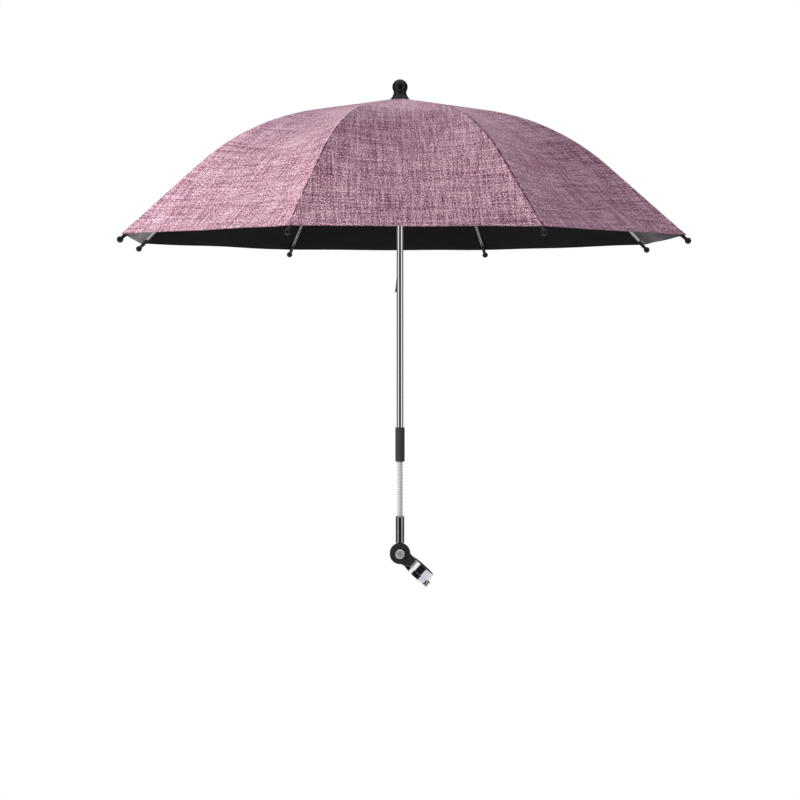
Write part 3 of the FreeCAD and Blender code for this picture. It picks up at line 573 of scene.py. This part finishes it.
def sheet_faces(rows, columns):
    """Faces of the outer and inner sides by turns, then of the rim that closes them, and the rim's points."""
    count = rows * columns
    faces = []
    for i in range(rows - 1):
        for j in range(columns - 1):
            a = i * columns + j
            b, c, d = a + 1, a + columns + 1, a + columns
            faces.append((a, b, c, d))
            faces.append((count + a, count + d, count + c, count + b))
    rim = list(range(columns))
    rim += [i * columns + columns - 1 for i in range(1, rows)]
    rim += [(rows - 1) * columns + j for j in range(columns - 2, -1, -1)]
    rim += [i * columns for i in range(rows - 2, 0, -1)]
    faces += [(b, a, count + a, count + b) for a, b in zip(rim, rim[1:] + rim[:1])]
    return faces, rim


def lay_flat(mesh, number, columns, spots):
    """Flat layout of the two gores that a sheet shares, each with a weave of its own."""
    layout = mesh.uv_layers.new(name="gore")
    over_rib = columns // 2
    for polygon in mesh.polygons:
        places = [vertex % len(spots) for vertex in polygon.vertices]
        on_first_side = min(place % columns for place in places) < over_rib
        for loop, place in zip(polygon.loop_indices, places):
            across, run, gore = spots[place].from_middle, spots[place].run, spots[place].gore
            if place % columns == over_rib and on_first_side:
                across = -across
                gore = (number - 1) % RIBS
            layout.data[loop].uv = (across + gore * GORE_SHIFT[0], run + gore * GORE_SHIFT[1])


def sheet_mesh(number, angle):
    """One sheet's mesh, with its two finishes, its flat layout and its distances from seam and hem."""
    grid, spots = sheet_grid(number, angle)
    rows, columns = len(grid), len(grid[0])
    count = rows * columns
    outer, inner = sewn_points(grid, spots, angle)
    faces, rim = sheet_faces(rows, columns)
    mesh = bpy.data.meshes.new("canopy_%d" % number)
    mesh.from_pydata(outer + inner, [], faces)
    mesh.materials.append(FINISHES["canopy_cloth"])
    mesh.materials.append(COATED)
    for polygon in mesh.polygons:
        polygon.material_index = 1 if min(polygon.vertices) >= count else 0
        polygon.use_smooth = polygon.index < len(faces) - len(rim)
    lay_flat(mesh, number, columns, spots)
    for name in ("seam_m", "hem_m"):
        layer = mesh.attributes.new(name, "FLOAT", "POINT")
        layer.data.foreach_set("value", [getattr(spot, name) for spot in spots] * 2)
    rim_points = set(rim)
    for edge in mesh.edges:
        a, b = edge.vertices
        if a % count in rim_points and b % count in rim_points and (a < count) == (b < count):
            edge.use_edge_sharp = True
    return mesh


def canopy_sheet(number):
    """One sewn sheet over a rib. It is left out of reflections, so the shaft stays bright under it."""
    fold = JOINTS["canopy_fold" if number == 1 else "rib_fold_%d" % number]
    axis = Vector(fold["axis"])
    sheet = add_object("canopy_%d" % number, sheet_mesh(number, math.atan2(-axis.x, axis.y)))
    sheet.visible_glossy = False
    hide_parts("canopy_panel_%d" % number)
    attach(sheet, "rib_%d" % number)
    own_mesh(sheet)


# Wound neck

def neck_joint(number):
    """The neck's hinges from the foot up: sideways and fore-and-aft ones by turns."""
    return JOINTS["neck_%s_%d" % ("side" if number % 2 else "fore", (number + 1) // 2)]


FIRST_HINGE_Z = neck_joint(1)["pos_m"][2]
HINGE_PITCH = (neck_joint(NECK_JOINTS)["pos_m"][2] - FIRST_HINGE_Z) / (NECK_JOINTS - 1)


def ring_point(middle, radius, turn, z):
    angle = 2 * math.pi * turn
    return middle.x + radius * math.cos(angle), middle.y + radius * math.sin(angle), z


def wound_rings(middle, low, high):
    """Rings of a wound surface between two heights, and how deep in the groove each point is."""
    points = []
    grooves = []
    rows = round((high - low) / COIL_PITCH * COIL_ROWS_PER_TURN)
    for i in range(rows + 1):
        z = low + (high - low) * i / rows
        for k in range(COIL_SEGMENTS):
            turn = k / COIL_SEGMENTS
            phase = ((z - FIRST_HINGE_Z) / COIL_PITCH - turn) % 1.0
            hump = math.sqrt(max(0.0, 1 - (2 * phase - 1) ** 2))
            points.append(ring_point(middle, COIL_R - COIL_DEPTH * (1 - hump), turn, z))
            # How deep in the groove each point is, which sets the painted groove shade
            grooves.append(math.sqrt(1 - hump))
    return points, grooves


def dome_rings(middle, foot):
    """Rings of the dome that the seated coil turns on."""
    points = []
    for i in range(COIL_DOME_ROWS):
        rise = math.pi / 2 * i / COIL_DOME_ROWS
        radius, z = COIL_DOME_R * math.cos(rise), foot + COIL_DOME_R * math.sin(rise)
        points += [ring_point(middle, radius, k / COIL_SEGMENTS, z) for k in range(COIL_SEGMENTS)]
    return points


def coil_mesh(number, middle):
    """Wound tube across one bend of the neck, in step with its neighbours."""
    low = middle.z - {1: COIL_FOOT, SEATED_COIL: -COIL_GAP}.get(number, HINGE_PITCH / 2)
    high = middle.z + {SEATED_COIL - 1: HINGE_PITCH}.get(number, HINGE_PITCH / 2)
    if number == NECK_JOINTS:
        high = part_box("shaft_sleeve")[0].z
    points, grooves = wound_rings(middle, low, high)
    if number == SEATED_COIL - 1:
        dome = dome_rings(middle, high)
        points += dome
        # The dome under the seated coil takes the full painted groove shade
        grooves += [1.0] * len(dome)
    faces = []
    for start in range(0, len(points) - COIL_SEGMENTS, COIL_SEGMENTS):
        for k in range(COIL_SEGMENTS):
            a, b = start + k, start + (k + 1) % COIL_SEGMENTS
            faces.append((a, b, b + COIL_SEGMENTS, a + COIL_SEGMENTS))
    mesh = bpy.data.meshes.new("neck_coil_%d" % number)
    mesh.from_pydata(points, [], faces)
    mesh.materials.append(FINISHES["neck_silver"])
    mesh.attributes.new("groove", "FLOAT", "POINT").data.foreach_set("value", grooves)
    mesh.shade_smooth()
    return mesh


def coil_piece(number):
    """One coil at each hinge, fixed where it is made. The seated one rides its link instead, on a dome of the coil
    below.
    """
    joint = neck_joint(number)
    middle = Vector(joint["pos_m"])
    coil = add_object("neck_coil_%d" % number, coil_mesh(number, middle))
    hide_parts("gooseneck_link_%d" % number)
    if number == SEATED_COIL:
        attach(coil, joint["child"])
    else:
        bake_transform(coil)


# Finishes on the CAD pieces, smooth across gentle angles
SLOTS = {subpart["node"]: subpart["material_slot"] for subpart in frame["record"]["subparts"]}
for name, piece in NODES.items():
    piece.data.materials.clear()
    piece.data.materials.append(FINISHES[SLOTS[name]])
    piece.data.shade_smooth()
    piece.data.set_sharp_from_angle(angle=SMOOTH_ANGLE)

for number in range(1, RIBS + 1):
    canopy_sheet(number)
for number in range(1, NECK_JOINTS + 1):
    coil_piece(number)


# Stage

def add_floor():
    material, tree, shader = new_material("floor")
    tree.put(shader, {"Base Color": opaque(FLOOR_COLOUR), "Roughness": FLOOR_ROUGHNESS})
    bpy.ops.mesh.primitive_plane_add(size=FLOOR_SIZE, location=(KNUCKLE.x, 0, KNUCKLE.z - FLOOR_DROP))
    floor = bpy.context.object
    floor.name = "floor"
    floor.data.materials.append(material)


def soft_lamp(name, offset, size, watts, colour):
    """Area lamp that points at the canopy and doesn't show in the metal."""
    data = bpy.data.lights.new(name, "AREA")
    data.shape = "RECTANGLE"
    data.size, data.size_y = size
    data.energy = watts
    data.color = colour
    lamp = add_object(name, data)
    lamp.location = AIM + Vector(offset)
    lamp.rotation_euler = (AIM - lamp.location).to_track_quat("-Z", "Y").to_euler()
    lamp.visible_glossy = False


def studio_world():
    """White to the camera, an even level on the object, and a white room with dark flags in the metal."""
    world = bpy.data.worlds.new("studio")
    bpy.context.scene.world = world
    tree = Tree(world)
    look = tree.add("TexCoord").outputs["Generated"]
    ways = tree.add("SeparateXYZ", {"Vector": look}).outputs
    aside = tree.work_out("ABSOLUTE", ways["X"])
    ahead = tree.work_out("MULTIPLY", ways["Y"], -1.0)
    bearing = tree.spread(tree.work_out("ARCTAN2", aside, ahead), (0.0, math.pi))
    flags = tree.ramp(bearing, [(degrees / 180, (level, level, level)) for degrees, level in FLAG_STOPS])
    room = tree.mix(tree.spread(ways["Z"], CEILING_HEIGHTS), flags, opaque(WHITE))
    path = tree.add("LightPath").outputs
    backdrop = tree.add("Background", {"Color": tree.mix(path["Is Glossy Ray"], opaque(WHITE), room)})
    ambient = tree.nodes["Background"]
    tree.put(ambient, {"Color": tree.mix(ways["Z"], opaque(AMBIENT_LEVEL), opaque(AMBIENT_TOP)),
                       "Strength": AMBIENT_STRENGTH})
    direct = tree.work_out("MAXIMUM", path["Is Camera Ray"], path["Is Transmission Ray"])
    direct = tree.work_out("MAXIMUM", direct, path["Is Glossy Ray"])
    choice = tree.add("MixShader", {0: direct, 1: ambient.outputs["Background"],
                                    2: backdrop.outputs["Background"]})
    tree.put(tree.nodes["World Output"], {"Surface": choice.outputs["Shader"]})


def add_camera():
    data = bpy.data.cameras.new("camera")
    data.lens = CAMERA_LENS
    data.sensor_width = CAMERA_SENSOR
    camera = add_object("camera", data)
    camera.location = (KNUCKLE.x, -CAMERA_DISTANCE, KNUCKLE.z + CAMERA_RISE)
    camera.rotation_euler = Euler((CAMERA_PITCH, 0, 0))
    bpy.context.scene.camera = camera


add_floor()
for name, lamp in LAMPS.items():
    soft_lamp(name, *lamp)
studio_world()
add_camera()
bpy.context.scene.view_settings.view_transform = "Standard"
